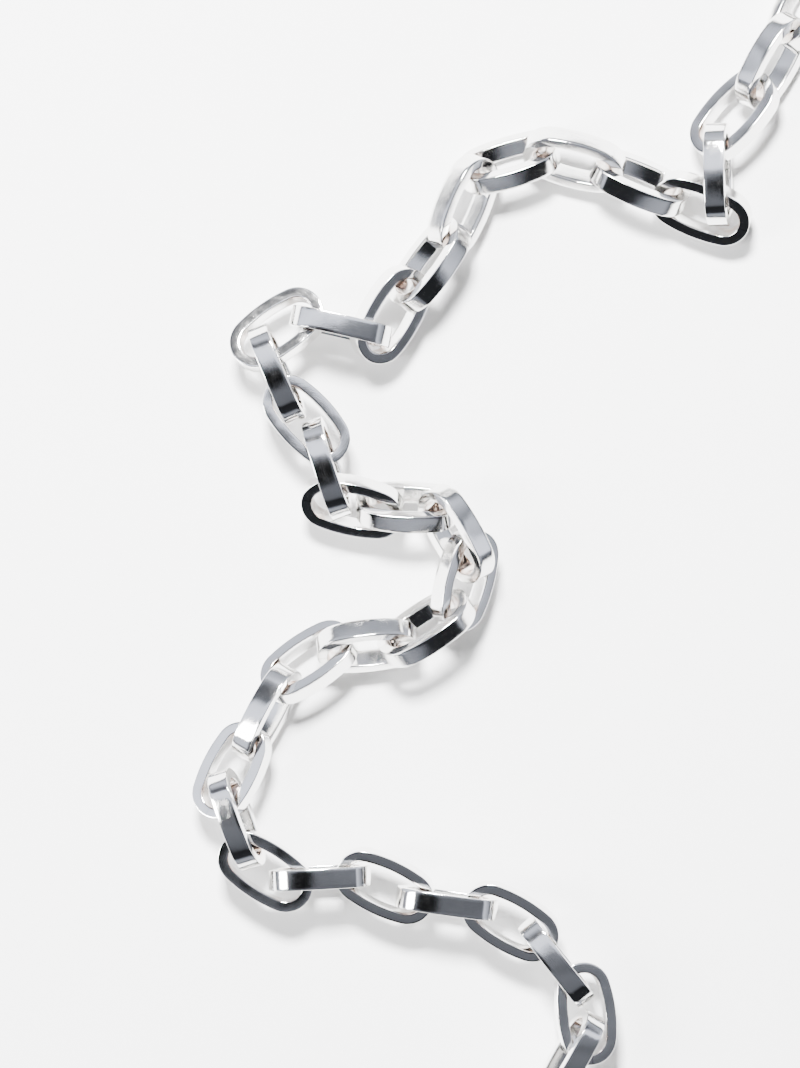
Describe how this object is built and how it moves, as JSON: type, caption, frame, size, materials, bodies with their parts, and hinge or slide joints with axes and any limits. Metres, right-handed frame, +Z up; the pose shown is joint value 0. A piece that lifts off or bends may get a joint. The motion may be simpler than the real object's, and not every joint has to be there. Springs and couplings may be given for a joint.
{
  "type": "chain necklace",
  "caption": "Chunky polished cable-link necklace lying open in an S, with a lobster clasp that hooks into the last link.",
  "frame": {"origin": "middle of the footprint of the laid-out necklace, on the surface it lies on", "axes": "+Y along the length of the lay towards the clasp end, +X across it, +Z up from the surface"},
  "size_m": [0.1386, 0.223, 0.0123],
  "materials": {
    "polished_silver": "mirror-polished sterling silver",
    "pin_silver": "polished rivet end",
    "spring_wire": "bright spring steel"
  },
  "bodies": {
    "clasp_frame": {"clasp_body": "polished_silver", "clasp_pin": "pin_silver", "clasp_spring": "spring_wire"},
    "clasp_trigger": {"clasp_lever": "polished_silver"},
    "clasp_ring": {"clasp_ring": "polished_silver"},
    "link_01": {"link_01": "polished_silver"},
    "link_02": {"link_02": "polished_silver"},
    "link_03": {"link_03": "polished_silver"},
    "link_04": {"link_04": "polished_silver"},
    "link_05": {"link_05": "polished_silver"},
    "link_06": {"link_06": "polished_silver"},
    "link_07": {"link_07": "polished_silver"},
    "link_08": {"link_08": "polished_silver"},
    "link_09": {"link_09": "polished_silver"},
    "link_10": {"link_10": "polished_silver"},
    "link_11": {"link_11": "polished_silver"},
    "link_12": {"link_12": "polished_silver"},
    "link_13": {"link_13": "polished_silver"},
    "link_14": {"link_14": "polished_silver"},
    "link_15": {"link_15": "polished_silver"},
    "link_16": {"link_16": "polished_silver"},
    "link_17": {"link_17": "polished_silver"},
    "link_18": {"link_18": "polished_silver"},
    "link_19": {"link_19": "polished_silver"},
    "link_20": {"link_20": "polished_silver"},
    "link_21": {"link_21": "polished_silver"},
    "link_22": {"link_22": "polished_silver"},
    "link_23": {"link_23": "polished_silver"},
    "link_24": {"link_24": "polished_silver"},
    "link_25": {"link_25": "polished_silver"},
    "link_26": {"link_26": "polished_silver"},
    "link_27": {"link_27": "polished_silver"},
    "link_28": {"link_28": "polished_silver"},
    "link_29": {"link_29": "polished_silver"},
    "link_30": {"link_30": "polished_silver"},
    "link_31": {"link_31": "polished_silver"},
    "link_32": {"link_32": "polished_silver"},
    "link_33": {"link_33": "polished_silver"},
    "link_34": {"link_34": "polished_silver"},
    "link_35": {"link_35": "polished_silver"},
    "link_36": {"link_36": "polished_silver"},
    "link_37": {"link_37": "polished_silver"},
    "link_38": {"link_38": "polished_silver"},
    "link_39": {"link_39": "polished_silver"},
    "link_40": {"link_40": "polished_silver"},
    "link_41": {"link_41": "polished_silver"},
    "link_42": {"link_42": "polished_silver"},
    "link_43": {"link_43": "polished_silver"}
  },
  "joints": [
    {"name": "clasp_frame_swing", "type": "hinge", "parent": "clasp_ring", "child": "clasp_frame", "pos_m": [0.06357, 0.09209, 0.00487], "axis": [0.9962, 0.0872, 0], "range_deg": [-20, 14]},
    {"name": "clasp_ring_swing", "type": "hinge", "parent": "link_01", "child": "clasp_ring", "pos_m": [0.06319, 0.0965, 0.00465], "axis": [-0.1473, -0.092, -0.9848], "range_deg": [-30, 30]},
    {"name": "link_01_swing", "type": "hinge", "parent": "link_02", "child": "link_01", "pos_m": [0.056, 0.10411, 0.00511], "axis": [-0.286, -0.9354, 0.2079], "range_deg": [-30, 30]},
    {"name": "link_02_swing", "type": "hinge", "parent": "link_03", "child": "link_02", "pos_m": [0.04575, 0.10704, 0.00418], "axis": [-0.2058, 0.422, 0.8829], "range_deg": [-30, 30]},
    {"name": "link_03_swing", "type": "hinge", "parent": "link_04", "child": "link_03", "pos_m": [0.03677, 0.10192, 0.00484], "axis": [0.6455, -0.5043, 0.5736], "range_deg": [-30, 30]},
    {"name": "link_04_swing", "type": "hinge", "parent": "link_05", "child": "link_04", "pos_m": [0.03029, 0.09327, 0.00461], "axis": [0.6243, -0.332, -0.7071], "range_deg": [-30, 30]},
    {"name": "link_05_swing", "type": "hinge", "parent": "link_06", "child": "link_05", "pos_m": [0.02506, 0.08357, 0.00464], "axis": [-0.6824, 0.394, -0.6157], "range_deg": [-30, 30]},
    {"name": "link_06_swing", "type": "hinge", "parent": "link_07", "child": "link_06", "pos_m": [0.0196, 0.07447, 0.00501], "axis": [-0.3603, 0.3244, 0.8746], "range_deg": [-30, 30]},
    {"name": "link_07_swing", "type": "hinge", "parent": "link_08", "child": "link_07", "pos_m": [0.01424, 0.066, 0.00617], "axis": [-0.978, -0.0171, -0.2079], "range_deg": [-30, 30]},
    {"name": "link_08_swing", "type": "hinge", "parent": "link_09", "child": "link_08", "pos_m": [0.01533, 0.05542, 0.00481], "axis": [0.1873, 0.4636, -0.866], "range_deg": [0, 30]},
    {"name": "link_09_swing", "type": "hinge", "parent": "link_10", "child": "link_09", "pos_m": [0.0055, 0.05944, 0.00493], "axis": [-0.3121, -0.7351, -0.6018], "range_deg": [-30, 30]},
    {"name": "link_10_swing", "type": "hinge", "parent": "link_11", "child": "link_10", "pos_m": [-0.00471, 0.06356, 0.00529], "axis": [-0.1862, -0.6948, 0.6947], "range_deg": [-30, 30]},
    {"name": "link_11_swing", "type": "hinge", "parent": "link_12", "child": "link_11", "pos_m": [-0.01514, 0.06529, 0.00447], "axis": [-0.2173, 0.7107, 0.6691], "range_deg": [-30, 30]},
    {"name": "link_12_swing", "type": "hinge", "parent": "link_13", "child": "link_12", "pos_m": [-0.02466, 0.06091, 0.00573], "axis": [-0.6732, 0.2858, -0.682], "range_deg": [-30, 30]},
    {"name": "link_13_swing", "type": "hinge", "parent": "link_14", "child": "link_13", "pos_m": [-0.02932, 0.05097, 0.00607], "axis": [0.6461, -0.4694, -0.6018], "range_deg": [-30, 30]},
    {"name": "link_14_swing", "type": "hinge", "parent": "link_15", "child": "link_14", "pos_m": [-0.03581, 0.04327, 0.0061], "axis": [0.4066, -0.2347, 0.8829], "range_deg": [-30, 10]},
    {"name": "link_15_swing", "type": "hinge", "parent": "link_16", "child": "link_15", "pos_m": [-0.04182, 0.03706, 0.00747], "axis": [0.2248, 0.9738, -0.0349], "range_deg": [-30, 30]},
    {"name": "link_16_swing", "type": "hinge", "parent": "link_17", "child": "link_16", "pos_m": [-0.05245, 0.0397, 0.00666], "axis": [0.1677, -0.2395, -0.9563], "range_deg": [-10, 30]},
    {"name": "link_17_swing", "type": "hinge", "parent": "link_18", "child": "link_17", "pos_m": [-0.05724, 0.03395, 0.00749], "axis": [0.9155, 0.3886, 0.1045], "range_deg": [-24, 30]},
    {"name": "link_18_swing", "type": "hinge", "parent": "link_19", "child": "link_18", "pos_m": [-0.05379, 0.02582, 0.00744], "axis": [0.0383, 0.0357, 0.9986], "range_deg": [0, 30]},
    {"name": "link_19_swing", "type": "hinge", "parent": "link_20", "child": "link_19", "pos_m": [-0.04899, 0.01908, 0.00742], "axis": [-0.9458, -0.3073, -0.1045], "range_deg": [-18, 16]},
    {"name": "link_20_swing", "type": "hinge", "parent": "link_21", "child": "link_20", "pos_m": [-0.04756, 0.0103, 0.0059], "axis": [0.104, 0.4891, -0.866], "range_deg": [-6, 10]},
    {"name": "link_22_swing", "type": "hinge", "parent": "link_21", "child": "link_22", "pos_m": [-0.03995, 0.00868, 0.0059], "axis": [0.104, 0.4891, -0.866], "range_deg": [-8, 10]},
    {"name": "link_23_swing", "type": "hinge", "parent": "link_22", "child": "link_23", "pos_m": [-0.03127, 0.00913, 0.00602], "axis": [0.0271, 0.7767, 0.6293], "range_deg": [-30, 30]},
    {"name": "link_24_swing", "type": "hinge", "parent": "link_23", "child": "link_24", "pos_m": [-0.0254, 0.00163, 0.00763], "axis": [-0.6916, -0.3993, 0.6018], "range_deg": [-2, 22]},
    {"name": "link_25_swing", "type": "hinge", "parent": "link_24", "child": "link_25", "pos_m": [-0.02697, -0.00601, 0.00644], "axis": [-0.5678, 0.1521, -0.809], "range_deg": [-30, 30]},
    {"name": "link_26_swing", "type": "hinge", "parent": "link_25", "child": "link_26", "pos_m": [-0.03532, -0.01198, 0.00736], "axis": [0.4292, -0.6609, -0.6157], "range_deg": [-30, 30]},
    {"name": "link_27_swing", "type": "hinge", "parent": "link_26", "child": "link_27", "pos_m": [-0.04523, -0.01316, 0.00636], "axis": [0.0801, -0.7618, 0.6428], "range_deg": [-30, 16]},
    {"name": "link_28_swing", "type": "hinge", "parent": "link_27", "child": "link_28", "pos_m": [-0.05395, -0.01754, 0.0056], "axis": [-0.3127, 0.4636, 0.829], "range_deg": [-30, 30]},
    {"name": "link_29_swing", "type": "hinge", "parent": "link_28", "child": "link_29", "pos_m": [-0.05924, -0.02686, 0.00631], "axis": [0.8243, -0.4383, 0.3584], "range_deg": [-30, 30]},
    {"name": "link_30_swing", "type": "hinge", "parent": "link_29", "child": "link_30", "pos_m": [-0.06473, -0.03621, 0.00619], "axis": [0.3047, -0.1553, -0.9397], "range_deg": [0, 30]},
    {"name": "link_31_swing", "type": "hinge", "parent": "link_30", "child": "link_31", "pos_m": [-0.06088, -0.04402, 0.00688], "axis": [-0.9118, -0.3319, -0.2419], "range_deg": [-30, 30]},
    {"name": "link_32_swing", "type": "hinge", "parent": "link_31", "child": "link_32", "pos_m": [-0.0543, -0.05064, 0.00658], "axis": [-0.0569, -0.0877, 0.9945], "range_deg": [-30, 12]},
    {"name": "link_33_swing", "type": "hinge", "parent": "link_32", "child": "link_33", "pos_m": [-0.04513, -0.04936, 0.00668], "axis": [-0.0523, 0.9985, 0.0175], "range_deg": [-30, 30]},
    {"name": "link_34_swing", "type": "hinge", "parent": "link_33", "child": "link_34", "pos_m": [-0.03506, -0.05249, 0.0069], "axis": [0.0879, 0.1884, -0.9781], "range_deg": [-14, 30]},
    {"name": "link_35_swing", "type": "hinge", "parent": "link_34", "child": "link_35", "pos_m": [-0.02496, -0.05412, 0.007], "axis": [-0.1391, -0.9897, -0.0349], "range_deg": [-30, 30]},
    {"name": "link_36_swing", "type": "hinge", "parent": "link_35", "child": "link_36", "pos_m": [-0.01522, -0.05844, 0.00713], "axis": [-0.0954, -0.1652, 0.9816], "range_deg": [-2, 30]},
    {"name": "link_37_swing", "type": "hinge", "parent": "link_36", "child": "link_37", "pos_m": [-0.00901, -0.06605, 0.0068], "axis": [0.7879, 0.6156, 0.0175], "range_deg": [-30, 30]},
    {"name": "link_38_swing", "type": "hinge", "parent": "link_37", "child": "link_38", "pos_m": [-0.00633, -0.07501, 0.00646], "axis": [-0.1381, -0.017, -0.9903], "range_deg": [-30, 0]},
    {"name": "link_39_swing", "type": "hinge", "parent": "link_38", "child": "link_39", "pos_m": [-0.01131, -0.08165, 0.00663], "axis": [-0.8365, 0.483, 0.2588], "range_deg": [-30, 30]},
    {"name": "link_40_swing", "type": "hinge", "parent": "link_39", "child": "link_40", "pos_m": [-0.01519, -0.09207, 0.00667], "axis": [0.1677, -0.0449, 0.9848], "range_deg": [-30, 30]},
    {"name": "link_41_swing", "type": "hinge", "parent": "link_40", "child": "link_41", "pos_m": [-0.0096, -0.10178, 0.00617], "axis": [0.8655, 0.4997, -0.0349], "range_deg": [-30, 30]},
    {"name": "link_42_swing", "type": "hinge", "parent": "link_41", "child": "link_42", "pos_m": [-0.00077, -0.10709, 0.00577], "axis": [0.043, 0.1324, -0.9903], "range_deg": [-30, 30]},
    {"name": "link_43_swing", "type": "hinge", "parent": "link_42", "child": "link_43", "pos_m": [0.01014, -0.10555, 0.00587], "axis": [0.1392, -0.9903, 0], "range_deg": [-30, 30]},
    {"name": "trigger_pull", "type": "hinge", "parent": "clasp_frame", "child": "clasp_trigger", "pos_m": [0.06246, 0.08318, 0.00477], "axis": [0, 0, 1], "range_deg": [0, 22], "stiffness_Nm_per_rad": 0.01, "springref_deg": -11.46}
  ]
}
